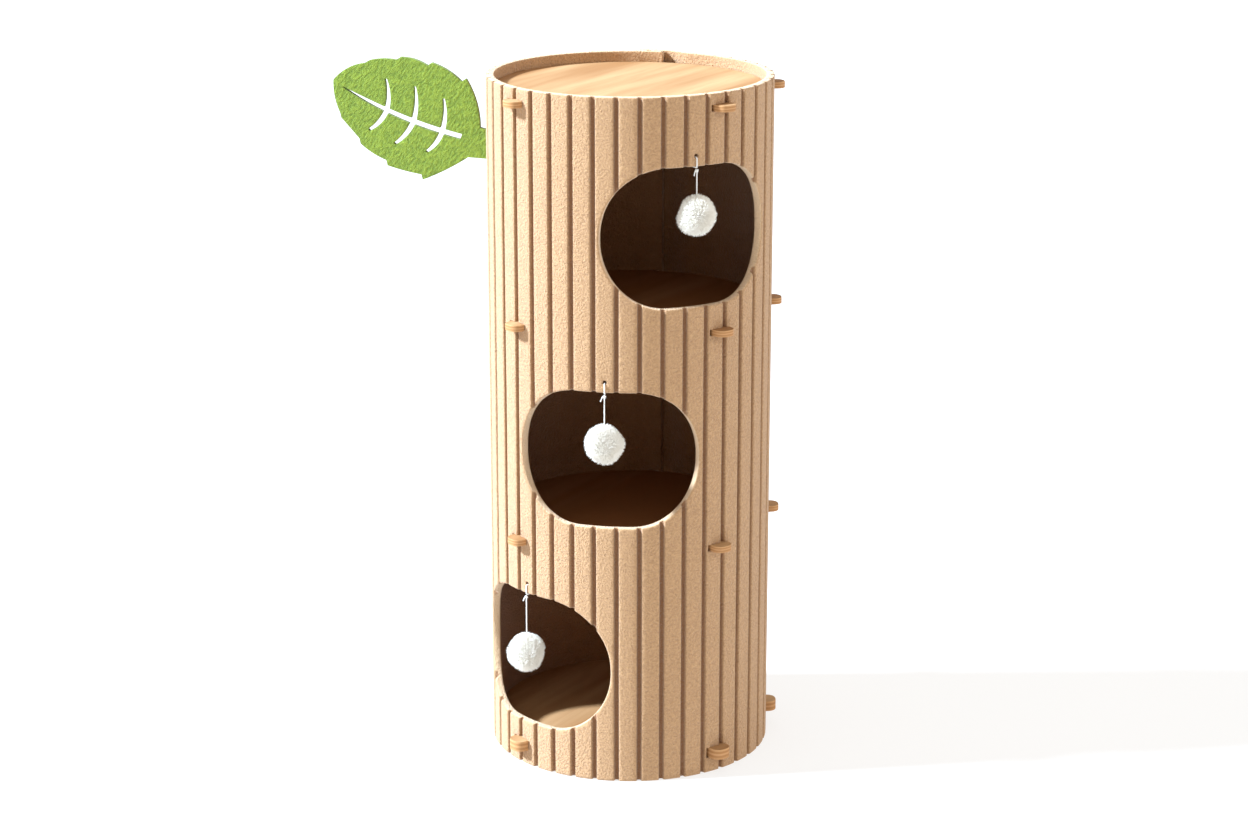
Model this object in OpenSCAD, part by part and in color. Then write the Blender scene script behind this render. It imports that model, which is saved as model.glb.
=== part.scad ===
// Cat tree: a grooved felt sheet rolled into an upright hollow trunk, locked
// round four plywood decks by hook tabs, with three cat doors, a pompom toy
// hung over each door and a felt leaf pushed into a slot in the side.
// The origin is on the trunk's axis at floor level, +Z up. The middle door
// faces -Y and the leaf points along -X. An azimuth a is the direction
// (sin a, -cos a), so 0 is the middle door and +90 is +X.

/* [Trunk] */
// Outside diameter of the rolled trunk
trunk_d = 400; // [330:0.1:480]
// Height of the trunk
trunk_h = 972; // [900:0.1:1200]
// Thickness of the felt sheet
felt = 12; // [9:0.5:15]

/* [Bark grooves] */
// Distance from one groove to the next along the sheet
groove_pitch = 31.9; // [24:0.1:40]
// Width of a groove at the outer face
groove_mouth = 8.5; // [6:0.5:11]
// Width of a groove at its floor
groove_floor = 4; // [2:0.5:5]
// Depth of a groove
groove_depth = 5; // [2:0.5:6]

/* [Back seam] */
// Azimuth of the sheet's inner end
seam_az = 175.4; // [174:0.1:177]
// Felt left past a slot at each of the sheet's two ends
lap_margin = 4.5; // [3:0.5:12]
// Length over which the sheet steps outward before the seam
ramp = 45; // [30:1:70]
// Gap between the two layers of the lap
lap_gap = 0.6; // [0.5:0.1:2]

/* [Decks] */
// Thickness of the upper three decks
board = 9; // [6:0.5:12]
// Thickness of the base disc
base_board = 15; // [9:0.5:18]
// Height of the base disc's underside above the floor
base_z = 22; // [16:0.5:30]
// Depth of the top deck's face below the rim
tray_depth = 15.2; // [10:0.1:40]
// Gap between a deck's rim and the felt
rim_gap = 0.5; // [0.3:0.1:1.5]

/* [Hook tabs] */
// Width of a tab's head
tab_w = 29; // [26:0.5:45]
// How far a head stands out of the trunk
tab_reach = 17; // [12:0.5:24]
// Radius of a head's outer corners
tab_corner = 12; // [3:0.5:13]
// How far the hook catches the felt past the slot's end
hook_catch = 4; // [3:0.5:8]
// Length left open at the slot's other end once the deck is turned
slot_play = 4.5; // [4:0.5:9]
// Clearance round a tab in its slot
slot_gap = 0.5; // [0.3:0.1:1]

/* [Doors] */
// Width of a door along the sheet
door_w = 268; // [210:1:300]
// Height of a door
door_h = 193; // [190:1:230]
// Corner radius of a door
door_r = 94; // [40:1:95]
// Height of a door's sill above its deck's underside
sill_rise = 43.5; // [25:0.5:50]
// Turn from one door to the next
door_turn = 36.2; // [30:0.1:40]

/* [Toys] */
// Diameter of a pompom
pompom_d = 55; // [35:1:66]
// Diameter of the cord
cord_d = 2; // [1.5:0.1:3]
// Diameter of the knot below a door's top edge
knot_d = 5; // [4:0.1:8]
// Diameter of the hole the cord goes through
cord_hole_d = 6; // [4:0.5:10]
// Height of that hole's centre above the door's top edge
cord_hole_rise = 14.5; // [9:0.5:18]
// Drop from the hole to the bottom pompom's centre
bottom_drop = 101; // [75:1:130]
// Drop from the hole to the middle pompom's centre
middle_drop = 87; // [75:1:130]
// Drop from the hole to the top pompom's centre
top_drop = 81; // [75:1:130]

/* [Leaf] */
// Thickness of the leaf's felt
leaf_t = 8; // [3:0.5:12]
// Height of the stalk that goes into the trunk
stalk_h = 42; // [34:1:50]
// Depth of the stalk's middle below the rim
stalk_drop = 106; // [90:1:200]
// Length of the stalk left inside the trunk
stalk_in = 10; // [6:1:20]
// Distance from the trunk to the stalk end of the midrib
blade_gap = 40; // [36:1:60]
// Rise of the midrib's stalk end above the stalk's middle
blade_rise = 9; // [0:1:16]
// Upward tilt of the midrib
blade_tilt = 22.5; // [15:0.5:28]
// Width of the cut-out midrib
midrib_w = 7; // [4:0.5:9]
// Width of a cut-out side vein where it leaves the midrib
vein_w = 8; // [4:0.5:9]

/* [Hidden] */
$fn = 96;
cut = 20;          // how far a cutter runs past what it cuts
facet = 3;         // degrees per facet of the sheet's smooth face

trunk_r = trunk_d / 2;
inner_r = trunk_r - felt;
lap_step = felt + lap_gap;
deg_per_mm = 360 / (PI * trunk_d);

// A slot runs from slot_x0 to slot_x1 across its column's azimuth
slot_x0 = -tab_w / 2 - slot_play;
slot_x1 = tab_w / 2 - hook_catch;
// The lap is just long enough for a column of slots through both layers
lap_az = 2 * (lap_margin - slot_x0) * deg_per_mm;
ramp_az = ramp * deg_per_mm;

deck_r = inner_r - rim_gap;
deck_board = [base_board, board, board, board];
// The decks' undersides are evenly spaced from the base disc's to the top deck's
deck_pitch = (trunk_h - tray_depth - board - base_z) / 3;
deck_z = [for (i = [0:3]) base_z + i * deck_pitch + deck_board[i] / 2];
// The last column of tabs lies in the lap and holds both layers
tab_az = [-111.5, -40.2, 48.3, 107, seam_az + lap_az / 2];

door_az = [for (i = [-1:1]) i * door_turn];
door_top_z = [for (i = [0:2]) base_z + i * deck_pitch + sill_rise + door_h];
toy_drop = [bottom_drop, middle_drop, top_drop];

cord_gap = 0.3;    // clearance between the cord and what it passes
cord_sides = 8;
cord_ring = 5;     // distance between the rings of the cord's tube
cord_y = -trunk_r - cord_gap - cord_d / 2;
knot_drop = cord_gap * 2 + cord_d + knot_d / 2;
string_sink = 1.5; // how far a string goes into its pompom

stalk_z = trunk_h - stalk_drop;
stalk_clear = 6;    // length of straight stalk outside the trunk
blade_at = [trunk_r + blade_gap, stalk_z + blade_rise];
blade_start = [-20, 23];
// The tip-side end of each lobe of the leaf: along the midrib, and out from it
upper_lobe = [[24, 79], [77, 80], [121, 69], [161, 46], [198, 0]];
lower_lobe = [[28, 80], [82, 82], [129, 69], [168, 46], [198, 0]];
upper_bulge = [5, 3, 3, 2, 5];
lower_bulge = [2, 1, 2, 0, 3];
lobe_step = [4.5, -6.3];
midrib_end = [182, -4];
midrib_bow = -7;
vein_from = [28, 71, 112];
vein_up = [[43, 40], [87, 39], [129, 32]];
vein_down = [[38, -41], [84, -49], [125, -46]];

// ---- The rolled sheet ----

// How far the sheet has stepped outward at an azimuth counted along the sheet
function step_out(az) =
    az <= seam_az - ramp_az ? 0 :
    az >= seam_az ? lap_step :
    lap_step * (1 - cos(180 * (az - seam_az + ramp_az) / ramp_az)) / 2;

function sheet_point(az, depth) =
    let (r = trunk_r + step_out(az) - depth) [r * sin(az), -r * cos(az)];

// The grooved face runs from the inner end to the outer end, and the smooth
// face comes back
function sheet_outline() =
    let (start = seam_az - 360,
         end = seam_az + lap_az,
         pitch = groove_pitch * deg_per_mm,
         mouth = groove_mouth * deg_per_mm / 2,
         floor_half = groove_floor * deg_per_mm / 2,
         profile = [[-pitch / 2, 0], [-mouth, 0], [-floor_half, groove_depth],
                    [floor_half, groove_depth], [mouth, 0]],
         first = ceil(start / pitch),
         last = floor((end - mouth) / pitch - 0.6),
         facets = ceil((end - start) / facet))
    concat(
        [sheet_point(start, 0)],
        [for (k = [first:last], p = profile) sheet_point((k + 0.5) * pitch + p[0], p[1])],
        [sheet_point(end, 0)],
        [for (i = [facets:-1:0]) sheet_point(start + (end - start) * i / facets, felt)]);

// A rounded rectangle cut in the flat sheet, as seen square on once it is rolled
function door_outline() =
    let (x = door_w / 2 - door_r, y = door_h / 2 - door_r, n = 12)
    [for (c = [[x, y, 0], [-x, y, 90], [-x, -y, 180], [x, -y, 270]], i = [0:n])
        let (a = c[2] + 90 * i / n, s = c[0] + door_r * cos(a))
        [trunk_r * sin(s * deg_per_mm), c[1] + door_r * sin(a)]];

// Cuts through the wall at an azimuth: the child's XY outline faces outward.
// The cut starts well inside, because a wide door reaches round the curve
module through_wall(az, z)
    rotate([0, 0, az])
        translate([0, -inner_r / 2, z])
            rotate([90, 0, 0])
                linear_extrude(inner_r / 2 + felt + lap_step + cut)
                    children();

module trunk_wall() {
    color([0.87, 0.76, 0.60])
        difference() {
            linear_extrude(trunk_h) polygon(sheet_outline());
            for (i = [0:2]) {
                through_wall(door_az[i], door_top_z[i] - door_h / 2) polygon(door_outline());
                through_wall(door_az[i], door_top_z[i] + cord_hole_rise) circle(d = cord_hole_d);
            }
            for (i = [0:3], az = tab_az)
                through_wall(az, deck_z[i])
                    translate([slot_x0, -deck_board[i] / 2 - slot_gap])
                        square([slot_x1 - slot_x0, deck_board[i] + 2 * slot_gap]);
            through_wall(-90, stalk_z)
                square([leaf_t + 2 * slot_gap, stalk_h + 2 * slot_gap], center = true);
        }
}

// ---- The plywood decks ----

// One hook tab, pointing along -Y: the neck fills the slot up to the end that
// the hook grips, and the head stands outside
module hook_tab(head_r) {
    outer_r = head_r + tab_reach;
    neck_x1 = tab_w / 2 - hook_catch - slot_gap;
    side_x = tab_w / 2 - tab_corner;
    side_y = sqrt(pow(outer_r - tab_corner, 2) - pow(side_x, 2));
    inner_y = head_r + slot_gap;
    translate([-tab_w / 2, -side_y]) square([neck_x1 + tab_w / 2, side_y - deck_r + tab_corner]);
    translate([-tab_w / 2, -side_y]) square([tab_w, side_y - inner_y]);
    for (x = [-side_x, side_x])
        translate([x, -side_y]) intersection() {
            circle(tab_corner);
            translate([-tab_corner, -tab_corner]) square([2 * tab_corner, tab_corner]);
        }
    intersection() {
        circle(outer_r);
        translate([-side_x, -outer_r]) square([2 * side_x, outer_r - inner_y]);
    }
}

module deck(i)
    color([0.93, 0.78, 0.58])
        translate([0, 0, deck_z[i] - deck_board[i] / 2])
            linear_extrude(deck_board[i]) {
                circle(deck_r);
                for (az = tab_az)
                    rotate(az) hook_tab(trunk_r + step_out(az));
            }

module base_disc() deck(0);
module lower_shelf() deck(1);
module upper_shelf() deck(2);
module top_platform() deck(3);

// ---- The leaf ----

// Points from a to b along a shallow curve that bows to the left by bow
function bowed(a, b, bow, n = 10) =
    let (d = b - a, left = [-d[1], d[0]] / norm(d))
    [for (i = [0:n]) let (t = i / n) a + d * t + left * (bow * 4 * t * (1 - t))];

function reversed(p) = [for (i = [len(p) - 1:-1:0]) p[i]];
function flipped(p) = [for (q = p) [q[0], -q[1]]];

// One side of the blade, from the stalk to the tip: each lobe ends in a small
// step towards the midrib
function blade_side(lobe, bulge) =
    [for (i = [0:len(lobe) - 1])
        each bowed(i == 0 ? blade_start : lobe[i - 1] + lobe_step, lobe[i], bulge[i])];

// A cut that narrows along its curve, evenly with a taper of 1 and more
// towards its end with a higher one
module tapered_cut(a, b, bow, w0, w1, taper = 1) {
    left = [a[1] - b[1], b[0] - a[0]] / norm(b - a);
    spine = bowed(a, b, bow);
    n = len(spine) - 1;
    edge = [for (i = [0:n]) left * (w0 + (w1 - w0) * pow(i / n, taper)) / 2];
    polygon(concat(
        [for (i = [0:n]) spine[i] + edge[i]],
        [for (i = [n:-1:0]) spine[i] - edge[i]]));
}

function on_midrib(x) =
    let (t = x / midrib_end[0])
    [x, midrib_end[1] * t + midrib_bow * 4 * t * (1 - t)];

// Turns a point of the blade's own frame into distance out from the axis and height
function placed(p) =
    blade_at + [p[0] * cos(blade_tilt) - p[1] * sin(blade_tilt),
                p[0] * sin(blade_tilt) + p[1] * cos(blade_tilt)];

// The stalk and the blade in one outline: the stalk runs straight until it is
// clear of the trunk, then widens into the first lobes
function leaf_outline() =
    let (x0 = inner_r - stalk_in, x1 = trunk_r + stalk_clear,
         z0 = stalk_z - stalk_h / 2, z1 = stalk_z + stalk_h / 2)
    concat([[x0, z0], [x0, z1], [x1, z1]],
           [for (p = blade_side(upper_lobe, upper_bulge)) placed(p)],
           [for (p = reversed(flipped(blade_side(lower_lobe, lower_bulge)))) placed(p)],
           [[x1, z0]]);

module leaf()
    color([0.58, 0.72, 0.24])
        translate([0, leaf_t / 2, 0])
            mirror([1, 0, 0])
                rotate([90, 0, 0])
                    linear_extrude(leaf_t)
                        difference() {
                            polygon(leaf_outline());
                            translate(blade_at) rotate(blade_tilt) {
                                tapered_cut([0, 0], midrib_end, midrib_bow, midrib_w, 1, 4);
                                for (i = [0:2]) {
                                    tapered_cut(on_midrib(vein_from[i]), vein_up[i], 3, vein_w, 2);
                                    tapered_cut(on_midrib(vein_from[i]), vein_down[i], -3, vein_w, 2);
                                }
                            }
                        }

// ---- The hanging toys ----

// Puts its children at a toy's azimuth, with the door's top edge at z = 0
module at_toy(i)
    rotate([0, 0, door_az[i]]) translate([0, 0, door_top_z[i]]) children();

// The cord's turn round the felt between its hole and the door's top edge
module loop(i)
    color([0.95, 0.94, 0.90])
        at_toy(i)
            rotate([90, 0, -90])
                translate([0, 0, -cord_d / 2])
                    linear_extrude(cord_d)
                        difference() {
                            translate([inner_r - cord_gap - cord_d, -cord_gap - cord_d])
                                square([felt + 2 * cord_gap + 2 * cord_d,
                                        cord_hole_rise + cord_gap + 1.5 * cord_d]);
                            translate([inner_r - cord_gap, -cord_gap])
                                square([felt + 2 * cord_gap,
                                        cord_hole_rise + cord_gap - 0.5 * cord_d]);
                        }

module knot(i)
    color([0.95, 0.94, 0.90])
        at_toy(i) translate([0, cord_y, -knot_drop]) sphere(d = knot_d);

// A tube swept along a line of points that runs downward
module cord_tube(points) {
    n = len(points);
    rings = [for (p = points, k = [0:cord_sides - 1])
        p + cord_d / 2 * [cos(360 * k / cord_sides), sin(360 * k / cord_sides), 0]];
    sides = [for (i = [0:n - 2], k = [0:cord_sides - 1])
        let (k1 = (k + 1) % cord_sides, a = i * cord_sides, b = a + cord_sides)
        [a + k, a + k1, b + k1, b + k]];
    top = [for (k = [cord_sides - 1:-1:0]) k];
    bottom = [for (k = [0:cord_sides - 1]) (n - 1) * cord_sides + k];
    polyhedron(rings, concat([top], sides, [bottom]));
}

module string(i) {
    z0 = -knot_drop - knot_d / 2 - cord_gap;
    z1 = cord_hole_rise - toy_drop[i] + pompom_d / 2 - string_sink;
    n = ceil((z0 - z1) / cord_ring);
    color([0.95, 0.94, 0.90])
        at_toy(i) cord_tube([for (k = [0:n]) [0, cord_y, z0 + (z1 - z0) * k / n]]);
}

module pompom(i)
    color([0.97, 0.96, 0.94])
        at_toy(i) translate([0, cord_y, cord_hole_rise - toy_drop[i]]) sphere(d = pompom_d);

module bottom_loop() loop(0);
module bottom_knot() knot(0);
module bottom_string() string(0);
module bottom_pompom() pompom(0);
module middle_loop() loop(1);
module middle_knot() knot(1);
module middle_string() string(1);
module middle_pompom() pompom(1);
module top_loop() loop(2);
module top_knot() knot(2);
module top_string() string(2);
module top_pompom() pompom(2);

trunk_wall();
base_disc();
lower_shelf();
upper_shelf();
top_platform();
leaf();
bottom_loop();
bottom_knot();
bottom_string();
bottom_pompom();
middle_loop();
middle_knot();
middle_string();
middle_pompom();
top_loop();
top_knot();
top_string();
top_pompom();
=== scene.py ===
# %% [markdown]
# # A felt cat tree
# The real object is a thick felt sheet, cut flat, grooved like bark, rolled up
# and locked round four plywood decks. Three toys hang over its doors and a felt
# leaf is pushed into its side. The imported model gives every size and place, and
# each part of the lesson makes one kind of piece round it.

# %% Load the frame
import math
import random

import bmesh
import bpy
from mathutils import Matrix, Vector
from mathutils.geometry import delaunay_2d_cdt


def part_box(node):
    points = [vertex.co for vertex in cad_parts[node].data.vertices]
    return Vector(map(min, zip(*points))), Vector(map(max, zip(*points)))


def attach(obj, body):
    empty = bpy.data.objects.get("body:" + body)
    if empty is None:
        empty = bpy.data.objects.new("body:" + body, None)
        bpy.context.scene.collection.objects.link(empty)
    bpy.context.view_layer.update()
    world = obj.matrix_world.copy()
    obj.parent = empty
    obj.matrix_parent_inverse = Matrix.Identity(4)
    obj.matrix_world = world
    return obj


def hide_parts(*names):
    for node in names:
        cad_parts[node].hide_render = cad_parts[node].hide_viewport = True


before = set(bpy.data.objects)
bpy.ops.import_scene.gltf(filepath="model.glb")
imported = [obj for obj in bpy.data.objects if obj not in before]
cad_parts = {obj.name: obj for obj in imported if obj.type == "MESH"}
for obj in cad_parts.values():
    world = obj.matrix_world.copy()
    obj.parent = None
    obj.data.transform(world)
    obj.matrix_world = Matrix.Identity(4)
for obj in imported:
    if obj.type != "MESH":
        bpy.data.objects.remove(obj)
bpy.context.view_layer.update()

# %% [markdown]
# ## Sizes
# The trunk's radius and height, the decks and the toys are read from the frame.
# What a box can't tell, such as the felt's thickness or the shape of a groove,
# is written once here, in metres.

# %% Sizes from the frame and of the sheet
MM = 0.001
wall_low, wall_high = (Vector(c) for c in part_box("trunk_wall"))
trunk_r = -wall_low.y
trunk_h = wall_high.z
felt = 12 * MM
groove_pitch = 31.9 * MM
groove_mouth = 8.5 * MM
groove_floor = 4 * MM
groove_depth = 5 * MM
lap_gap = 0.6 * MM
lap_step = felt + lap_gap
ramp = 45 * MM
seam_az = math.radians(175.4)


def middle(node):
    low, high = (Vector(c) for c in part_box(node))
    return (low + high) / 2


def azimuth(point):
    return math.atan2(point.x, -point.y)


def around(az, r, z):
    """The point at an azimuth, a distance from the axis and a height."""
    return Vector((r * math.sin(az), -r * math.cos(az), z))


DECKS = ["base_disc", "lower_shelf", "upper_shelf", "top_platform"]
TOYS = ["bottom", "middle", "top"]
boards = [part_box(name)[1][2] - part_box(name)[0][2] for name in DECKS]
deck_z = [middle(name).z for name in DECKS]
door_az = [azimuth(middle(f"{toy}_knot")) for toy in TOYS]
cord_d, cord_gap = 2 * MM, 0.3 * MM
door_top = [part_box(f"{toy}_loop")[0][2] + cord_d + cord_gap for toy in TOYS]
print("trunk radius", round(trunk_r, 4), "height", round(trunk_h, 4))
print("decks at", [round(z, 4) for z in deck_z], "with boards", [round(t, 4) for t in boards])
print("door azimuths", [round(math.degrees(a), 2) for a in door_az])
print("door tops", [round(z, 4) for z in door_top])

# %% Sizes of the openings and tabs
door_w, door_h, door_r = 268 * MM, 193 * MM, 94 * MM
cord_hole_d, cord_hole_rise = 6 * MM, 14.5 * MM
tab_w, tab_reach, tab_corner = 29 * MM, 17 * MM, 12 * MM
hook_catch, slot_play, slot_gap = 4 * MM, 4.5 * MM, 0.1 * MM
rim_gap = 0.5 * MM
leaf_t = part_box("leaf")[1][1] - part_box("leaf")[0][1]
stalk_h, stalk_z = 42 * MM, trunk_h - 106 * MM
lap_margin = 4.5 * MM
lap_az = 2 * (tab_w / 2 + slot_play + lap_margin) / trunk_r
tab_az = [math.radians(a) for a in (-111.5, -40.2, 48.3, 107)] + [seam_az + lap_az / 2]
print("the lap covers", round(math.degrees(lap_az), 2), "degrees")

# %% [markdown]
# ## Camera
# The camera stands about four metres in front, a little to the right of the
# middle door, at standing height and looking down, with a long lens that keeps
# the trunk's sides nearly parallel.

# %% Camera
camera_data = bpy.data.cameras.new("camera")
camera_data.lens = 85.21
camera_data.sensor_width = 36
camera = bpy.data.objects.new("camera", camera_data)
camera.location = (0.6958, -3.9938, 1.6496)
camera.rotation_euler = (math.radians(90 - 16.118), 0, math.radians(10))
bpy.context.scene.collection.objects.link(camera)
bpy.context.scene.camera = camera
print("camera at", [round(x, 2) for x in camera.location], "with a", round(camera_data.lens, 1), "mm lens")

# %% [markdown]
# ## Studio
# A pale, softly lit floor, an even room and one strong sun from the upper left.
# The sun grazes the front, so it draws each groove as a dark line with a bright
# edge. It is cool and the room is warm, which keeps the lit felt a pale cream
# beside the tan of the shaded ribs. A much weaker light comes from the right.

# %% Floor and light
KEY_AZ, KEY_UP = math.radians(-75), math.radians(38)
SIDE_AZ, SIDE_UP = math.radians(92), math.radians(24)
FLOOR_HALF = 60

floor_mesh = bpy.data.meshes.new("floor")
floor_corners = [(x * FLOOR_HALF, y * FLOOR_HALF, 0) for x, y in ((-1, -1), (1, -1), (1, 1), (-1, 1))]
floor_mesh.from_pydata(floor_corners, [], [(0, 1, 2, 3)])
floor = bpy.data.objects.new("floor", floor_mesh)
floor.location.z = -0.5 * MM
bpy.context.scene.collection.objects.link(floor)


def add_sun(name, az, up, strength, angle, colour):
    """A sun that shines from an azimuth and a height above the floor."""
    data = bpy.data.lights.new(name, "SUN")
    data.energy = strength
    data.angle = math.radians(angle)
    data.color = colour
    lamp = bpy.data.objects.new(name, data)
    towards = around(az, math.cos(up), math.sin(up))
    lamp.rotation_euler = towards.to_track_quat("Z", "Y").to_euler()
    lamp.location = towards * 3
    bpy.context.scene.collection.objects.link(lamp)


add_sun("key", KEY_AZ, KEY_UP, 12.5, 7, (0.66, 0.81, 1.0))
add_sun("side", SIDE_AZ, SIDE_UP, 0.6, 12, (1.0, 0.95, 0.88))

world = bpy.data.worlds.new("studio")
world.use_nodes = True
world.node_tree.nodes["Background"].inputs["Color"].default_value = (1.0, 0.975, 0.945, 1)
world.node_tree.nodes["Background"].inputs["Strength"].default_value = 0.8
bpy.context.scene.world = world
bpy.context.scene.view_settings.view_transform = "Standard"
print("key light from azimuth", round(math.degrees(KEY_AZ)), "and", round(math.degrees(KEY_UP)), "up")

# %% [markdown]
# ## Finishes
# Each finish is a node tree on Object coordinates, so a pattern keeps its real
# scale in metres. A small class keeps the trees short to read: it adds a node,
# sets its sockets and joins it to what feeds it.


# %% A helper for node trees
class Nodes:
    """Adds nodes to a tree. A socket's name or number is given a value, or what feeds it."""

    def __init__(self, tree):
        self.tree = tree

    def add(self, kind, inputs=None, **settings):
        node = self.tree.nodes.new(kind)
        for name, value in settings.items():
            setattr(node, name, value)
        for socket, value in (inputs or {}).items():
            if isinstance(value, bpy.types.NodeSocket):
                self.tree.links.new(value, node.inputs[socket])
            else:
                node.inputs[socket].default_value = value
        return node

    def math(self, operation, a, b=0.0, c=0.0):
        return self.add("ShaderNodeMath", {0: a, 1: b, 2: c}, operation=operation).outputs[0]

    def span(self, value, low, high, to_low=0.0, to_high=1.0, smooth=False):
        kind = "SMOOTHSTEP" if smooth else "LINEAR"
        sockets = {"Value": value, "From Min": low, "From Max": high, "To Min": to_low, "To Max": to_high}
        return self.add("ShaderNodeMapRange", sockets, interpolation_type=kind).outputs["Result"]

    def noise(self, vector, scale, detail=2.0, roughness=0.5):
        sockets = {"Vector": vector, "Scale": scale, "Detail": detail, "Roughness": roughness}
        return self.add("ShaderNodeTexNoise", sockets).outputs["Fac"]

    def mix(self, factor, a, b):
        return self.add("ShaderNodeMix", {0: factor, 6: a, 7: b}, data_type="RGBA").outputs[2]


def finish_material(name, **constants):
    """A Principled material whose constant values sit on the shader's own sockets."""
    material = bpy.data.materials.new(name)
    material.use_nodes = True
    shader = material.node_tree.nodes["Principled BSDF"]
    for socket, value in constants.items():
        shader.inputs[socket.replace("_", " ")].default_value = value
    return material, Nodes(material.node_tree), shader


def join(material, output, shader, socket):
    material.node_tree.links.new(output, shader.inputs[socket])


def bump(n, height, strength, distance, normal=None):
    sockets = {"Height": height, "Strength": strength, "Distance": distance}
    if normal is not None:
        sockets["Normal"] = normal
    return n.add("ShaderNodeBump", sockets).outputs["Normal"]


# %% [markdown]
# ### Felt
# Needled felt has no weave: it is a mat of short fibres with a pebbled face a
# few millimetres across, paler fibre tips, and pressed places that are darker.
# The grooves are pressed, so they are a tone darker than the ribs between them,
# and a cut edge at a door or a rim is paler, because it shows the loose fibre
# ends. The mesh carries these places as attributes: `groove`, `cut`, and
# `inside` for the inner face. Below the top deck the inner face is given a deep
# brown, which is painted shade for the dark dens. The leaf's felt has its fibres
# drawn out one way, so its pattern is stretched and turned.


# %% Felt finish
PEBBLE_SCALE = 330
TRUNK_TONES = (0.84, 0.58, 0.36, 1), (0.655, 0.385, 0.182, 1), (0.41, 0.22, 0.098, 1)
# The middle tone is painted shade, for the inner face in the dens.
GROOVE_DEN_SHADE_CUT_TONES = (0.24, 0.10, 0.034, 1), (0.34, 0.15, 0.05, 1), (0.82, 0.57, 0.34, 1)
LEAF_TONES = (0.52, 0.60, 0.10, 1), (0.29, 0.385, 0.028, 1), (0.10, 0.17, 0.006, 1)


def felt_material(name, pale, mid, dark, groove_den_shade_cut_tones=None, stretch=(1, 1, 1), turn=0.0):
    """Felt in three tones. The last argument holds the tones of the grooves, the painted shade of the inner
    face in the dens, and the cuts.
    """
    material, n, shader = finish_material(
        name, Roughness=0.95, Sheen_Weight=0.25, Sheen_Roughness=0.6, Specular_IOR_Level=0.2)
    place = n.add("ShaderNodeTexCoord").outputs["Object"]
    sockets = {"Vector": place, "Rotation": (0, turn, 0), "Scale": stretch}
    lay = n.add("ShaderNodeMapping", sockets, vector_type="TEXTURE").outputs[0]
    drift = n.noise(place, 14, 2)
    pebbles = n.noise(lay, PEBBLE_SCALE, 4, 0.62)
    fibres = n.noise(place, 1900, 2, 0.7)
    blend = n.math("ADD", n.math("MULTIPLY", pebbles, 0.65), n.math("MULTIPLY", fibres, 0.35))
    tone = n.mix(n.span(blend, 0.36, 0.66), dark, mid)
    tone = n.mix(n.span(fibres, 0.55, 0.75, 0, 0.5), tone, pale)
    tone = n.mix(n.span(drift, 0.3, 0.7, 0, 0.12), tone, dark)
    if groove_den_shade_cut_tones:
        groove_tone, den_painted_shade_tone, cut_tone = groove_den_shade_cut_tones
        groove, inside, cut = (n.add("ShaderNodeAttribute", attribute_name=place_name).outputs["Fac"]
                               for place_name in ("groove", "inside", "cut"))
        height = n.add("ShaderNodeSeparateXYZ", {0: place}).outputs["Z"]
        den_shade_mask = n.span(height, deck_z[-1], deck_z[-1] + 6 * MM, 1.0, 0.0)
        tone = n.mix(n.math("MULTIPLY", groove, 0.85), tone, groove_tone)
        # Painted shade: the inner face below the top deck is mixed towards a deep brown.
        tone = n.mix(n.math("MULTIPLY", inside, den_shade_mask), tone, den_painted_shade_tone)
        tone = n.mix(n.math("MULTIPLY", n.span(cut, 0.55, 1.0), 0.8), tone, cut_tone)
    join(material, tone, shader, "Base Color")
    soft = bump(n, pebbles, 1.0, 3.8 * MM)
    join(material, bump(n, fibres, 0.5, 0.35 * MM, soft), shader, "Normal")
    return material


trunk_felt = felt_material("trunk_felt", *TRUNK_TONES, groove_den_shade_cut_tones=GROOVE_DEN_SHADE_CUT_TONES)
leaf_felt = felt_material("leaf_felt", *LEAF_TONES, stretch=(1, 1, 2), turn=math.radians(40))
print("felt finishes", trunk_felt.name, leaf_felt.name)

# %% [markdown]
# ### Plywood
# A deck's faces show one veneer with broad soft bands and fine pores along the
# grain. Its edges show the plies: the vertex attribute `ply` runs from 0 at the
# lower face to 1 at the upper one, so a colour ramp on it draws the layers.
# Inside the trunk, the boards above the base are given a deeper red-brown, up to
# the top deck's lower face; this is painted shade for the dens.


# %% Plywood finish
GRAIN = math.radians(69)
PLY_COLOURS = [(0.0, (0.50, 0.25, 0.10)), (0.19, (0.52, 0.27, 0.11)), (0.20, (0.30, 0.13, 0.045)),
               (0.23, (0.41, 0.19, 0.07)), (0.40, (0.40, 0.185, 0.065)), (0.41, (0.56, 0.30, 0.13)),
               (0.59, (0.55, 0.29, 0.12)), (0.60, (0.40, 0.185, 0.065)), (0.77, (0.41, 0.19, 0.07)),
               (0.79, (0.30, 0.13, 0.045)), (0.80, (0.52, 0.27, 0.11)), (1.0, (0.60, 0.34, 0.15))]


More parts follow.
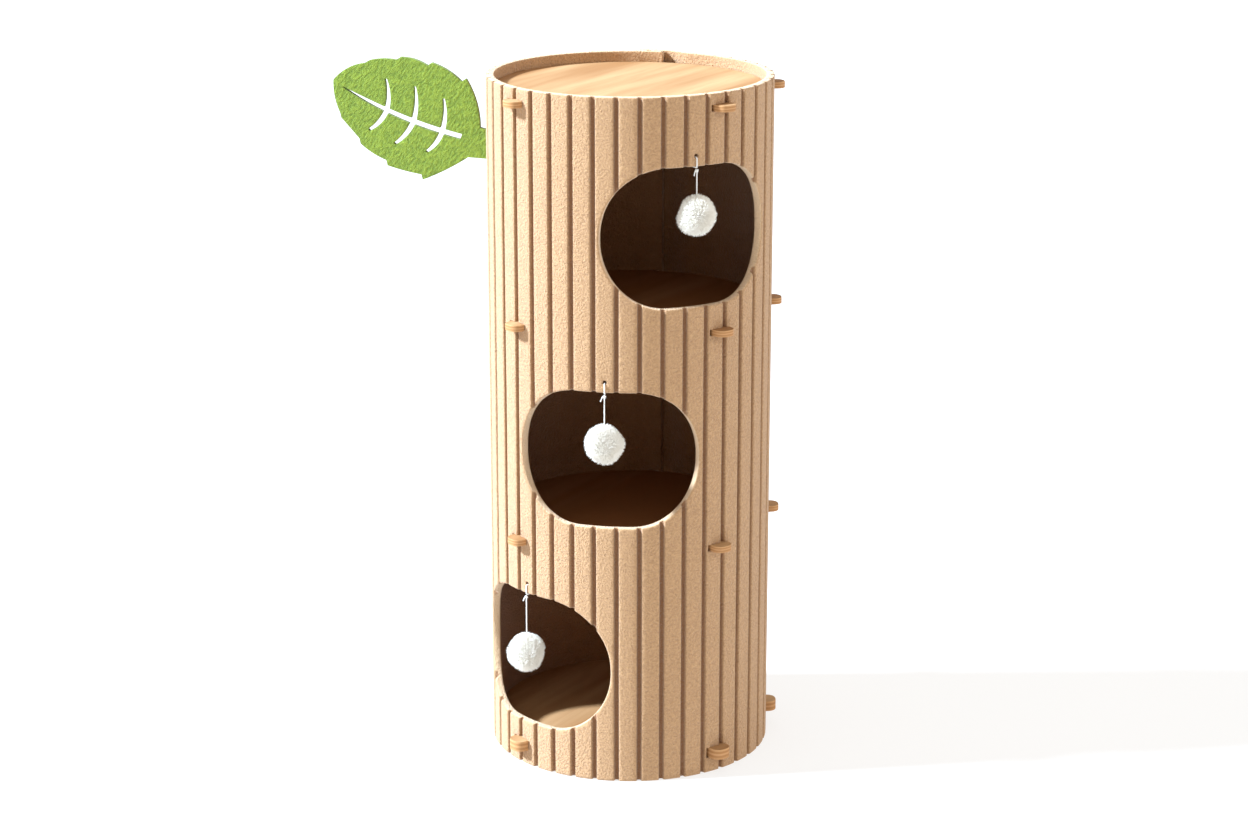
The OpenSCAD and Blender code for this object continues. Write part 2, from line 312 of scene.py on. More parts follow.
def plywood_material():
    material, n, shader = finish_material(
        "plywood", Roughness=0.7, Specular_IOR_Level=0.25)
    place = n.add("ShaderNodeTexCoord").outputs["Object"]
    along = n.add("ShaderNodeMapping", {"Vector": place, "Rotation": (0, 0, -GRAIN)}).outputs[0]
    bands_at = n.add("ShaderNodeMapping", {"Vector": along, "Scale": (0.9, 9, 3)}).outputs[0]
    pores_at = n.add("ShaderNodeMapping", {"Vector": along, "Scale": (25, 620, 200)}).outputs[0]
    bands = n.noise(bands_at, 1.3, 3, 0.55)
    pores = n.noise(pores_at, 1.0, 3, 0.6)
    tone = n.mix(n.span(bands, 0.42, 0.60), (0.34, 0.165, 0.062, 1), (0.51, 0.31, 0.15, 1))
    tone = n.mix(n.span(pores, 0.52, 0.75, 0, 0.35), tone, (0.26, 0.13, 0.05, 1))
    place_xyz = n.add("ShaderNodeSeparateXYZ", {0: place}).outputs
    level = n.add("ShaderNodeCombineXYZ", {0: place_xyz["X"], 1: place_xyz["Y"]}).outputs[0]
    from_axis = n.add("ShaderNodeVectorMath", {0: level}, operation="LENGTH").outputs["Value"]
    within = n.math("LESS_THAN", from_axis, trunk_r - felt)
    below_top = n.math("LESS_THAN", place_xyz["Z"], deck_z[-1] + 2 * MM)
    above_base = n.span(place_xyz["Z"], deck_z[0], deck_z[1], 0.0, 0.62)
    den_painted_shade = n.math("MULTIPLY", n.math("MULTIPLY", within, below_top), above_base)
    # Painted shade: inside the trunk and above the base, the boards are mixed to a deep red-brown.
    tone = n.mix(den_painted_shade, tone, (0.30, 0.10, 0.026, 1))
    ply = n.add("ShaderNodeAttribute", attribute_name="ply").outputs["Fac"]
    layers = n.add("ShaderNodeValToRGB", {"Fac": ply})
    ramp_points = layers.color_ramp.elements
    while len(ramp_points) < len(PLY_COLOURS):
        ramp_points.new(0.5)
    for point, (position, colour) in zip(ramp_points, PLY_COLOURS):
        point.position = position
        point.color = (*colour, 1)
    streak_at = n.add("ShaderNodeMapping", {"Vector": place, "Scale": (180, 180, 1400)}).outputs[0]
    streaks = n.noise(streak_at, 1.0, 2, 0.6)
    edge = n.mix(n.span(streaks, 0.35, 0.7, 0, 0.4), layers.outputs["Color"], (0.42, 0.22, 0.09, 1))
    up = n.add("ShaderNodeSeparateXYZ", {0: n.add("ShaderNodeNewGeometry").outputs["Normal"]}).outputs["Z"]
    face = n.span(n.math("ABSOLUTE", up), 0.6, 0.8)
    join(material, n.mix(face, edge, tone), shader, "Base Color")
    join(material, bump(n, n.mix(face, streaks, pores), 0.25, 0.15 * MM), shader, "Normal")
    return material


plywood = plywood_material()
print("plywood finish with", len(PLY_COLOURS), "points across its plies")

# %% [markdown]
# ### Cord, yarn and floor
# The cord is plied white cotton, and fine noise stands for its loose fibres.
# The pompoms are cut yarn that passes light from tuft to tuft, so a faint glow
# stands in for it; this glow is painted light, which keeps them bright where
# they hang in shade. The floor is a plain pale sheet, lit from below like a light
# table, so that shadows on it stay pale.


# %% Cord, yarn and floor finishes
def thread_material(name, colour, shade, sheen):
    material, n, shader = finish_material(name, Roughness=0.85, Sheen_Weight=sheen, Sheen_Roughness=0.5)
    place = n.add("ShaderNodeTexCoord").outputs["Object"]
    fibres = n.noise(place, 2600, 2, 0.6)
    join(material, n.mix(n.span(fibres, 0.35, 0.7), shade, colour), shader, "Base Color")
    join(material, bump(n, fibres, 0.3, 0.1 * MM), shader, "Normal")
    return material


toy_cord = thread_material("toy_cord", (0.93, 0.91, 0.86, 1), (0.78, 0.75, 0.69, 1), 0.2)
pompom_yarn = thread_material("pompom_yarn", (0.96, 0.925, 0.85, 1), (0.85, 0.805, 0.71, 1), 0.3)
# Painted light: the yarn glows faintly, so the pompoms stay bright in shade.
yarn_painted_glow_shader = pompom_yarn.node_tree.nodes["Principled BSDF"]
yarn_painted_glow_shader.inputs["Emission Color"].default_value = (1.0, 0.98, 0.93, 1)
yarn_painted_glow_shader.inputs["Emission Strength"].default_value = 0.06

print("thread finishes", toy_cord.name, pompom_yarn.name)

floor_material, _, floor_shader = finish_material("floor", Roughness=1.0, Specular_IOR_Level=0.0)
floor_shader.inputs["Base Color"].default_value = (0.3, 0.3, 0.3, 1)
floor_shader.inputs["Emission Color"].default_value = (1.0, 0.995, 0.985, 1)
floor_shader.inputs["Emission Strength"].default_value = 0.72
floor_mesh.materials.append(floor_material)


# %% [markdown]
# ## Meshes
# Every piece becomes a plain mesh whose object stays at the origin, with its
# material, smooth shading and the body it rides on.


# %% Helpers for pieces
def new_piece(name, mesh, material):
    piece = bpy.data.objects.new(name, mesh)
    bpy.context.scene.collection.objects.link(piece)
    if not mesh.materials:
        mesh.materials.append(material)
    mesh.shade_smooth()
    return piece


def place_piece(piece, body, slot, *nodes):
    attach(piece, body)
    if nodes:
        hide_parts(*nodes)


def settle(piece):
    """Turns what a piece's modifiers make into its plain mesh."""
    shape = bpy.data.meshes.new_from_object(
        piece.evaluated_get(bpy.context.evaluated_depsgraph_get()))
    piece.modifiers.clear()
    piece.data = shape
    return shape


def turn_outward(mesh):
    b = bmesh.new()
    b.from_mesh(mesh)
    bmesh.ops.recalc_face_normals(b, faces=b.faces)
    b.to_mesh(mesh)
    b.free()


def triangle_count(mesh):
    return sum(len(p.vertices) - 2 for p in mesh.polygons)


# %% [markdown]
# ## The felt trunk
# The maker cuts the doors and slots in a flat sheet, presses the grooves and
# rolls it up, so a door's cut sides point at the axis. The mesh is made in the
# same order. Step one is the flat sheet: x runs along the sheet from the middle
# door, z up it, and y is the depth below the grooved face. A constrained
# triangulation keeps every outline and every line of a groove as real edges.


# %% The flat sheet's openings
class Opening:
    """A rounded rectangle cut through the sheet: its middle, size, corner radius and rounded lip."""

    def __init__(self, x, z, w, h, r, steps, lip):
        self.x, self.z, self.w, self.h, self.r, self.steps, self.lip = x, z, w, h, r, steps, lip

    def outline(self, grow):
        r = self.r + grow
        dx, dz = self.w / 2 - self.r, self.h / 2 - self.r
        points = []
        for quarter, (sx, sz) in enumerate(((1, 1), (-1, 1), (-1, -1), (1, -1))):
            for i in range(self.steps + 1):
                a = math.pi / 2 * (quarter + i / self.steps)
                points.append((self.x + sx * dx + r * math.cos(a), self.z + sz * dz + r * math.sin(a)))
        return points

    def distance(self, x, z):
        qx = abs(x - self.x) - self.w / 2 + self.r
        qz = abs(z - self.z) - self.h / 2 + self.r
        return math.hypot(max(qx, 0), max(qz, 0)) + min(max(qx, qz), 0) - self.r


DOOR_STEPS, HOLE_STEPS, SLOT_STEPS = 26, 5, 2
WIDE = 60 * MM
sheet_start = (seam_az - 2 * math.pi) * trunk_r
sheet_end = (seam_az + lap_az) * trunk_r
edge_lip, door_lip, hole_lip, slot_lip = 1.4 * MM, 2.6 * MM, 1.0 * MM, 0.3 * MM
openings = []
for az, top in zip(door_az, door_top):
    openings.append(Opening(az * trunk_r, top - door_h / 2, door_w, door_h, door_r, DOOR_STEPS, door_lip))
    hole_z, hole_r = top + cord_hole_rise, cord_hole_d / 2 - 0.01 * MM
    openings.append(Opening(az * trunk_r, hole_z, cord_hole_d, cord_hole_d, hole_r, HOLE_STEPS, hole_lip))
slot_w, slot_r = tab_w + slot_play - hook_catch, 0.5 * MM
for z, board in zip(deck_z, boards):
    for az in tab_az + [tab_az[-1] - 2 * math.pi]:
        x = az * trunk_r - (slot_play + hook_catch) / 2
        openings.append(Opening(x, z, slot_w, board + 2 * slot_gap, slot_r, SLOT_STEPS, slot_lip))
stalk_x, stalk_w = -math.pi / 2 * trunk_r, leaf_t + 2 * slot_gap
openings.append(Opening(stalk_x, stalk_z, stalk_w, stalk_h + 2 * slot_gap, slot_r, SLOT_STEPS, slot_lip))
print(len(openings), "openings in a sheet", round(sheet_end - sheet_start, 4), "m long")


# %% Lines of the sheet's mesh
def sheet_lines():
    """The points and edges that the triangulation has to keep."""
    points, edges = [], []

    def line(path, closed):
        first = len(points)
        points.extend(Vector(p) for p in path)
        pairs = len(path) if closed else len(path) - 1
        edges.extend((first + i, first + (i + 1) % len(path)) for i in range(pairs))

    for inset in (0, 0.3 * edge_lip, edge_lip, 3 * edge_lip):
        x0, x1, z0, z1 = sheet_start + inset, sheet_end - inset, inset, trunk_h - inset
        line([(x0, z0), (x1, z0), (x1, z1), (x0, z1)], True)
    for opening in openings:
        for share in (0, 0.12, 0.45, 1, 2) if opening.w > WIDE else (0, 0.3, 1):
            line(opening.outline(share * opening.lip), True)
    margin = 4 * MM
    half = groove_mouth / 2
    offsets = [0.34 * half, 0.56 * half, 0.74 * half, 0.92 * half, 1.15 * half, 0.55 * groove_pitch / 2]
    offsets = sorted([-d for d in offsets] + offsets + [groove_pitch / 2])
    for k in range(math.floor(sheet_start / groove_pitch) - 1, math.ceil(sheet_end / groove_pitch) + 1):
        for offset in offsets:
            x = (k + 0.5) * groove_pitch + offset
            if sheet_start + margin < x < sheet_end - margin:
                line([(x, 0), (x, trunk_h)], False)
    rows, row_shift = 36, 1.3 * MM
    for i in range(1, rows):
        z = trunk_h * i / rows + row_shift
        line([(sheet_start, z), (sheet_end, z)], False)
    return points, edges


# %% The flat sheet as a closed mesh
def edge_drop(x, z):
    """How far the face is rounded down near an edge, and how much of the cut's pale tone it has."""
    near = [(min(x - sheet_start, sheet_end - x), edge_lip, 0), (min(z, trunk_h - z), edge_lip, 1)]
    for o in openings:
        if abs(x - o.x) < o.w and abs(z - o.z) < o.h:
            near.append((o.distance(x, z), o.lip, o.w > WIDE))
    drop, share = 0, 0
    for d, lip, pale in near:
        if d < lip:
            d = max(d, 0)
            drop = max(drop, lip - math.sqrt(lip ** 2 - (lip - d) ** 2))
            share = max(share, pale * (1 - d / lip))
    return drop, share


def flat_sheet():
    points, edges = sheet_lines()
    flat, _, triangles, *_ = delaunay_2d_cdt(points, edges, [], 0, 1e-6)
    kept = []
    for t in triangles:
        x = sum(flat[i].x for i in t) / 3
        z = sum(flat[i].y for i in t) / 3
        if all(o.distance(x, z) > 0 for o in openings if abs(x - o.x) < o.w):
            kept.append(tuple(t))
    used = sorted({i for t in kept for i in t})
    number = {old: new for new, old in enumerate(used)}
    drops, shares = zip(*(edge_drop(flat[i].x, flat[i].y) for i in used))
    front = [(flat[i].x, drop, flat[i].y) for i, drop in zip(used, drops)]
    back = [(flat[i].x, felt - drop, flat[i].y) for i, drop in zip(used, drops)]
    faces = [tuple(number[i] for i in t) for t in kept]
    count = len(used)
    sides = {}
    for f in faces:
        for a, b in zip(f, f[1:] + f[:1]):
            sides[a, b] = sides.get((a, b), 0) + 1
    rims = [(a, b) for a, b in sides if (b, a) not in sides]
    faces += [tuple(i + count for i in reversed(f)) for f in faces]
    faces += [(b, a, a + count, b + count) for a, b in rims]
    mesh = bpy.data.meshes.new("flat_sheet")
    mesh.from_pydata(front + back, [], faces)
    mesh.attributes.new("cut", "FLOAT", "POINT").data.foreach_set("value", shares * 2)
    mesh.validate()
    return mesh


sheet_mesh = flat_sheet()
print("flat sheet", len(sheet_mesh.vertices), "vertices", triangle_count(sheet_mesh), "triangles")

# %% [markdown]
# Step two rolls the sheet with Geometry Nodes, because the whole shape follows
# one rule: the position along the sheet becomes an angle, the depth becomes a
# distance from the axis, and a groove is a smooth step in that depth. Near the
# seam the sheet steps outward by its own thickness and laps over its other end.


# %% Rolling the sheet with Geometry Nodes
def roll_tree():
    tree = bpy.data.node_groups.new("roll_sheet", "GeometryNodeTree")
    interface = tree.interface
    interface.new_socket("Geometry", in_out="INPUT", socket_type="NodeSocketGeometry")
    sizes = {"Trunk Radius": trunk_r, "Felt": felt, "Groove Pitch": groove_pitch,
             "Groove Mouth": groove_mouth, "Groove Floor": groove_floor, "Groove Depth": groove_depth,
             "Seam Angle": seam_az, "Ramp": ramp, "Lap Step": lap_step, "Wander": 0.9 * MM}
    for name, value in sizes.items():
        interface.new_socket(name, in_out="INPUT", socket_type="NodeSocketFloat").default_value = value
    interface.new_socket("Material", in_out="INPUT", socket_type="NodeSocketMaterial")
    interface.new_socket("Geometry", in_out="OUTPUT", socket_type="NodeSocketGeometry")
    n = Nodes(tree)
    given = n.add("NodeGroupInput").outputs
    place = n.add("GeometryNodeInputPosition").outputs[0]
    x, depth, z = n.add("ShaderNodeSeparateXYZ", {0: place}).outputs
    slow = {0: n.math("MULTIPLY", x, 25.0), 2: n.math("MULTIPLY", z, 6.0)}
    sway = n.noise(n.add("ShaderNodeCombineXYZ", slow).outputs[0], 1.0, 1)
    pressed_x = n.math("MULTIPLY_ADD", n.math("SUBTRACT", sway, 0.5), given["Wander"], x)
    turn = n.math("FRACT", n.math("DIVIDE", pressed_x, given["Groove Pitch"]))
    off = n.math("MULTIPLY", n.math("ABSOLUTE", n.math("SUBTRACT", turn, 0.5)), given["Groove Pitch"])
    half_floor = n.math("DIVIDE", given["Groove Floor"], 2.0)
    half_mouth = n.math("DIVIDE", given["Groove Mouth"], 2.0)
    groove = n.span(off, half_floor, half_mouth, 1.0, 0.0, True)
    front = n.math("LESS_THAN", depth, n.math("DIVIDE", given["Felt"], 2.0))
    groove = n.math("MULTIPLY", groove, front)
    sunk = n.math("MULTIPLY_ADD", groove, given["Groove Depth"], depth)
    angle = n.math("DIVIDE", x, given["Trunk Radius"])
    ramp_angle = n.math("DIVIDE", given["Ramp"], given["Trunk Radius"])
    ramp_start = n.math("SUBTRACT", given["Seam Angle"], ramp_angle)
    rise = n.span(angle, ramp_start, given["Seam Angle"], smooth=True)
    step = n.math("MULTIPLY", rise, given["Lap Step"])
    r = n.math("SUBTRACT", n.math("ADD", given["Trunk Radius"], step), sunk)
    rolled = n.add("ShaderNodeCombineXYZ", {
        0: n.math("MULTIPLY", r, n.math("SINE", angle)),
        1: n.math("MULTIPLY", n.math("MULTIPLY", r, n.math("COSINE", angle)), -1.0), 2: z}).outputs[0]
    shape = given["Geometry"]
    for name, value in (("groove", groove), ("inside", n.math("SUBTRACT", 1.0, front))):
        shape = n.add("GeometryNodeStoreNamedAttribute", {"Geometry": shape, "Name": name, "Value": value},
                      data_type="FLOAT", domain="POINT").outputs[0]
    shape = n.add("GeometryNodeSetPosition", {"Geometry": shape, "Position": rolled}).outputs[0]
    shape = n.add("GeometryNodeRealizeInstances", {"Geometry": shape}).outputs[0]
    shape = n.add("GeometryNodeSetMaterial", {"Geometry": shape, "Material": given["Material"]}).outputs[0]
    n.add("NodeGroupOutput", {"Geometry": shape})
    return tree


def add_tree(piece, tree, **values):
    """Puts a node tree on a piece and sets its named inputs before it is evaluated."""
    modifier = piece.modifiers.new(tree.name, "NODES")
    modifier.node_group = tree
    sockets = {item.name: item.identifier for item in tree.interface.items_tree if item.in_out == "INPUT"}
    for name, value in values.items():
        modifier[sockets[name.replace("_", " ")]] = value


trunk = new_piece("trunk_wall_felt", sheet_mesh, trunk_felt)
add_tree(trunk, roll_tree(), Material=trunk_felt)
settle(trunk)
turn_outward(trunk.data)
trunk.data.shade_smooth()
place_piece(trunk, "trunk", "trunk_felt", "trunk_wall")
print("trunk", triangle_count(trunk.data), "triangles")

# %% [markdown]
# ## The plywood decks
# A deck is a disc with five hook tabs. Tabs could be joined to a disc with a
# boolean, but that leaves uneven edges for a bevel. So the outline is walked
# once round, with a tab's straight neck, its rounded head and its hook at each
# azimuth, then given the board's thickness, and a small bevel takes the
# sharpness off.


# %% A deck's outline
def lap_offset(az):
    start = seam_az - ramp / trunk_r
    t = min(max((az - start) / (seam_az - start), 0), 1)
    return lap_step * t * t * (3 - 2 * t)


def arc(centre, r, start, end, steps):
    return [(centre[0] + r * math.cos(start + (end - start) * i / steps),
             centre[1] + r * math.sin(start + (end - start) * i / steps)) for i in range(steps + 1)]


def tab_outline(deck_r, head_r):
    """A tab in its own frame: x towards higher azimuth, y away from the axis."""
    outer_r = head_r + tab_reach
    side_x = tab_w / 2 - tab_corner
    side_y = math.sqrt((outer_r - tab_corner) ** 2 - side_x ** 2)
    neck_x = tab_w / 2 - hook_catch - slot_gap
    lean = math.atan2(side_y, side_x)
    points = [(-tab_w / 2, math.sqrt(deck_r ** 2 - (tab_w / 2) ** 2))]
    points += arc((-side_x, side_y), tab_corner, math.pi, math.pi - lean, 7)
    points += arc((0, 0), outer_r, math.pi - lean, lean, 10)[1:-1]
    points += arc((side_x, side_y), tab_corner, lean, 0, 7)
    points += [(tab_w / 2, head_r + slot_gap), (neck_x, head_r + slot_gap)]
    points += [(neck_x, math.sqrt(deck_r ** 2 - neck_x ** 2))]
    return points


def deck_outline():
    deck_r = trunk_r - felt - rim_gap
    outline = []
    for az, next_az in zip(tab_az, tab_az[1:] + [tab_az[0] + 2 * math.pi]):
        tab = tab_outline(deck_r, trunk_r + lap_offset(az))
        for x, y in tab:
            outline.append((x * math.cos(az) + y * math.sin(az), x * math.sin(az) - y * math.cos(az)))
        start = az + math.asin(tab[-1][0] / deck_r)
        end = next_az - math.asin(tab_w / 2 / deck_r)
        steps = math.ceil((end - start) / math.radians(2.5))
        for i in range(1, steps):
            point = around(start + (end - start) * i / steps, deck_r, 0)
            outline.append((point.x, point.y))
    return outline


# %% The four decks
def make_deck(name, z, board):
    outline = deck_outline()
    count = len(outline)
    low, high = z - board / 2, z + board / 2
    points = [(x, y, low) for x, y in outline] + [(x, y, high) for x, y in outline]
    faces = [tuple(reversed(range(count))), tuple(range(count, 2 * count))]
    faces += [(i, (i + 1) % count, count + (i + 1) % count, count + i) for i in range(count)]
    mesh = bpy.data.meshes.new(name)
    mesh.from_pydata(points, [], faces)
    piece = new_piece(f"{name}_plywood", mesh, plywood)
    bevel = piece.modifiers.new("edge", "BEVEL")
    bevel.width = 0.5 * MM
    bevel.segments = 2
    bevel.angle_limit = math.radians(50)
    bevel.harden_normals = True
    shape = settle(piece)
    ply = shape.attributes.new("ply", "FLOAT", "POINT")
    ply.data.foreach_set("value", [(v.co.z - low) / board for v in shape.vertices])
    place_piece(piece, "trunk", "plywood", name)
    return piece


decks = [make_deck(*each) for each in zip(DECKS, deck_z, boards)]
print("a deck has", triangle_count(decks[0].data), "triangles")

# %% [markdown]
# ## The leaf
# The leaf is one flat piece of thinner felt. Its blade follows a midrib that
# tilts up from the stalk. Each side is five lobes that end in a small step, and
# the veins are cut right through. The outline and the veins are triangulated in
# the leaf's plane, Solidify gives the felt its thickness to both sides of it,
# and a small bevel softens every cut edge.

# %% The leaf's outline
blade_at = Vector((trunk_r + 40 * MM, stalk_z + 9 * MM))
blade_tilt = math.radians(22.5)
UPPER_LOBES = [(24, 79), (77, 80), (121, 69), (161, 46), (198, 0)]
LOWER_LOBES = [(28, 80), (82, 82), (129, 69), (168, 46), (198, 0)]
UPPER_BULGE = [5, 3, 3, 2, 5]
LOWER_BULGE = [2, 1, 2, 0, 3]
LOBE_STEP = Vector((4.5, -6.3))
BLADE_START = Vector((-20, 23))
MIDRIB_END, MIDRIB_BOW, MIDRIB_W = Vector((182, -4)), -7, 8.5
VEIN_W, VEIN_TIP_W, CUT_STEPS = 8, 3.5, 14
SIDE_VEINS = [(28, (43, 40), (38, -41)), (71, (87, 39), (84, -49)), (112, (129, 32), (125, -46))]


def bowed(a, b, bow, steps=12):
    """Points from a to b on a shallow curve that bows to the left."""
    a, b = Vector(a), Vector(b)
    left = Vector((a.y - b.y, b.x - a.x)).normalized()
    return [a + (b - a) * t + left * (bow * 4 * t * (1 - t)) for t in (i / steps for i in range(steps + 1))]


def blade_side(lobes, bulges):
    side = []
    for i, (end, bulge) in enumerate(zip(lobes, bulges)):
        start = BLADE_START if i == 0 else Vector(lobes[i - 1]) + LOBE_STEP
        side += bowed(start, end, bulge)
    return side


def tapered_cut(a, b, bow, w0, w1, taper=1):
    """The outline of a cut that narrows along its curve."""
    spine = bowed(a, b, bow, CUT_STEPS)
    a, b = Vector(a), Vector(b)
    left = Vector((a.y - b.y, b.x - a.x)).normalized()
    widths = [(w0 + (w1 - w0) * (i / CUT_STEPS) ** taper) / 2 for i in range(CUT_STEPS + 1)]
    there = [p + left * w for p, w in zip(spine, widths)]
    back = [p - left * w for p, w in zip(spine, widths)]
    return there + back[::-1]


def in_row(points):
    """Blade points, in millimetres along and across the midrib, as metres in the leaf's plane."""
    c, s = math.cos(blade_tilt), math.sin(blade_tilt)
    return [blade_at + Vector((p.x * c - p.y * s, p.x * s + p.y * c)) * MM for p in points]


print("leaf blade", UPPER_LOBES[-1][0], "mm long")


# %% The leaf as a thick sheet
def cut_outline():
    """The outer outline of the leaf and the outline of all its veins together."""
    upper = in_row(blade_side(UPPER_LOBES, UPPER_BULGE))
    lower = in_row([Vector((p.x, -p.y)) for p in blade_side(LOWER_LOBES, LOWER_BULGE)])
    x0, x1 = trunk_r - felt - 10 * MM, trunk_r + 6 * MM
    z0, z1 = stalk_z - stalk_h / 2, stalk_z + stalk_h / 2
    stalk_top = [Vector((x0, z0)), Vector((x0, z1)), Vector((x1, z1))]
    outer = stalk_top + upper + lower[::-1] + [Vector((x1, z0))]
    cuts = [in_row(tapered_cut((0, 0), MIDRIB_END, MIDRIB_BOW, MIDRIB_W, 1, 4))]
    for x, up, down in SIDE_VEINS:
        t = x / MIDRIB_END.x
        start = (x, MIDRIB_END.y * t + MIDRIB_BOW * 4 * t * (1 - t))
        cuts.append(in_row(tapered_cut(start, up, 3, VEIN_W, VEIN_TIP_W, 1.5)))
        cuts.append(in_row(tapered_cut(start, down, -3, VEIN_W, VEIN_TIP_W, 1.5)))
    return outer, cuts


def inside_outline(p, outline):
    odd = False
    for a, b in zip(outline, outline[1:] + outline[:1]):
        if (a.y > p.y) != (b.y > p.y) and p.x < a.x + (b.x - a.x) * (p.y - a.y) / (b.y - a.y):
            odd = not odd
    return odd


def make_leaf():
    outer, cuts = cut_outline()
    points, edges = [], []
    for path in [outer] + cuts:
        first = len(points)
        points.extend(path)
        edges.extend((first + i, first + (i + 1) % len(path)) for i in range(len(path)))
    grid, columns, rows = 7 * MM, 40, 30
    x_low = min(p.x for p in outer)
    z_low = min(p.y for p in outer)
    for i in range(columns):
        for k in range(rows):
            points.append(Vector((x_low + grid * (i + 0.5 * (k % 2)), z_low + grid * k)))
    flat, _, triangles, *_ = delaunay_2d_cdt(points, edges, [], 0, 1e-6)
    b = bmesh.new()
    corners = {}
    for t in triangles:
        centre = sum((flat[i] for i in t), Vector((0, 0))) / 3
        if inside_outline(centre, outer) and not any(inside_outline(centre, c) for c in cuts):
            for i in t:
                if i not in corners:
                    corners[i] = b.verts.new((-flat[i].x, 0, flat[i].y))
            b.faces.new([corners[i] for i in t])
    mesh = bpy.data.meshes.new("leaf_felt")
    b.to_mesh(mesh)
    b.free()
    piece = new_piece("leaf_felt", mesh, leaf_felt)
    thick = piece.modifiers.new("thickness", "SOLIDIFY")
    thick.thickness = leaf_t
    thick.offset = 0
    thick.use_even_offset = False
    return piece


leaf = make_leaf()
leaf_edge = leaf.modifiers.new("edge", "BEVEL")
leaf_edge.width = 0.6 * MM
leaf_edge.segments = 2
leaf_edge.angle_limit = math.radians(60)
settle(leaf)
turn_outward(leaf.data)
leaf.data.shade_smooth()
place_piece(leaf, "leaf", "leaf_felt", "leaf")
print("leaf", triangle_count(leaf.data), "triangles")

# %% [markdown]
# ## The toys' cords
# Each cord turns once round the felt above a door, resting on its hole's lower
# edge, is knotted below the door's edge and hangs straight down to its pompom.
# It is three plied strands. A curve with a round bevel would show one smooth
# rod, so each stretch is three thin tubes that wind round the cord's own line.


# %% Plied cord
def plied_cord(name, route, thickness, strands=3, pitch=7 * MM, sides=6):
    """A mesh of strands that wind round a route of closely spaced points."""
    b = bmesh.new()
    strand_r = thickness * 0.27
    lay_r = thickness / 2 - strand_r
    run = [0.0]
    for p, q in zip(route, route[1:]):
        run.append(run[-1] + (q - p).length)
    side = None
    frames = []
    for i, p in enumerate(route):
        along = (route[min(i + 1, len(route) - 1)] - route[max(i - 1, 0)]).normalized()
        side = (side - along * side.dot(along)).normalized() if side else along.orthogonal().normalized()
        frames.append((p, side.copy(), along.cross(side)))
    for strand in range(strands):
        rings = []
        for (p, u, v), distance in zip(frames, run):
            a = 2 * math.pi * (distance / pitch + strand / strands)
            centre = p + (u * math.cos(a) + v * math.sin(a)) * lay_r
            rings.append([b.verts.new(centre + (u * math.cos(c) + v * math.sin(c)) * strand_r)
                          for c in (2 * math.pi * k / sides for k in range(sides))])
        for lower, upper in zip(rings, rings[1:]):
            for k in range(sides):
                b.faces.new((lower[k], lower[(k + 1) % sides], upper[(k + 1) % sides], upper[k]))
        b.faces.new(list(reversed(rings[0])))
        b.faces.new(rings[-1])
    bmesh.ops.recalc_face_normals(b, faces=b.faces)
    mesh = bpy.data.meshes.new(name)
    b.to_mesh(mesh)
    b.free()
    return new_piece(name, mesh, toy_cord)


def walk(corners, step=0.6 * MM):
    """Closely spaced points along straight runs between corners."""
    points = []
    for a, b in zip(corners, corners[1:]):
        count = max(1, round((b - a).length / step))
        points += [a + (b - a) * i / count for i in range(count)]
    return points + [corners[-1]]


# %% Loops, knots and strings
def make_loop(toy, az, top):
    """One turn round the felt: out through the hole, down the front and back up inside."""
    out, back = trunk_r + cord_gap + cord_d / 2, trunk_r - felt - cord_gap - cord_d / 2
    low = top - cord_gap - cord_d / 2
    high = top + cord_hole_rise - cord_hole_d / 2 + cord_d / 2 + cord_gap
    corner = 2.2 * MM
    turn = []
    for r, z, quarter in ((out, low, 3), (out, high, 0), (back, high, 1), (back, low, 2)):
        centre_r = r - corner if r == out else r + corner
        centre_z = z + corner if z == low else z - corner
        for i in range(7):
            a = math.pi / 2 * (quarter + i / 6)
            turn.append(around(az, centre_r + corner * math.cos(a), centre_z + corner * math.sin(a)))
    return plied_cord(f"{toy}_loop_cord", walk(turn + [turn[0]], 0.8 * MM), cord_d)


def make_knot(toy, az):
    """An overhand knot: a trefoil of cord drawn tight, with a short cut tail."""
    centre = middle(f"{toy}_knot")
    across, out = around(az + math.pi / 2, 1, 0), around(az, 1, 0)
    size = 0.62 * MM
    curl = []
    for i in range(60):
        t = 2 * math.pi * i / 60
        x = size * (math.sin(t) + 2 * math.sin(2 * t))
        z = size * (math.cos(t) - 2 * math.cos(2 * t))
        y = -size * 1.1 * math.sin(3 * t)
        curl.append(centre + across * x + out * y + Vector((0, 0, z)))
    knot = plied_cord(f"{toy}_knot_cord", curl + [curl[0]], cord_d * 0.95)
    start = centre - across * 2.2 * MM
    sideways = out * 0.5 - across * 0.9
    tail_reach, tail_fall = 3.2 * MM, 6.5 * MM
    tail_line = []
    for i in range(13):
        t = i / 12
        tail_line.append(start + sideways * (tail_reach * t) + Vector((0, 0, -tail_fall * t ** 1.4)))
    tail = plied_cord(f"{toy}_tail_cord", tail_line, cord_d * 0.9)
    return knot, tail


def make_string(toy):
    """The hanging stretch, from the middle of the knot into the pompom."""
    knot = middle(f"{toy}_knot")
    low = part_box(f"{toy}_string")[0][2]
    route = walk([knot, Vector((knot.x, knot.y, low))])
    return plied_cord(f"{toy}_string_cord", route, cord_d), route


strings = {}
for toy, az, top in zip(TOYS, door_az, door_top):
    place_piece(make_loop(toy, az, top), "trunk", "toy_cord", f"{toy}_loop")
    knot, tail = make_knot(toy, az)
    place_piece(knot, f"{toy}_knot", "toy_cord", f"{toy}_knot")
    place_piece(tail, f"{toy}_knot", "toy_cord")
    strings[toy] = make_string(toy)
    place_piece(strings[toy][0], f"{toy}_toy", "toy_cord", f"{toy}_string")
print("strings", {toy: round((s[1][-1] - s[1][0]).length, 4) for toy, s in strings.items()})

# %% [markdown]
# ## The pompoms
# A pompom is a ball of cut yarn: a core that nothing sees, and many short
# tufts that point away from the middle. Geometry Nodes scatter one small tuft
# over a slightly uneven core and turn each copy to face outward, with a fixed
# seed, so every run gives the same ball.


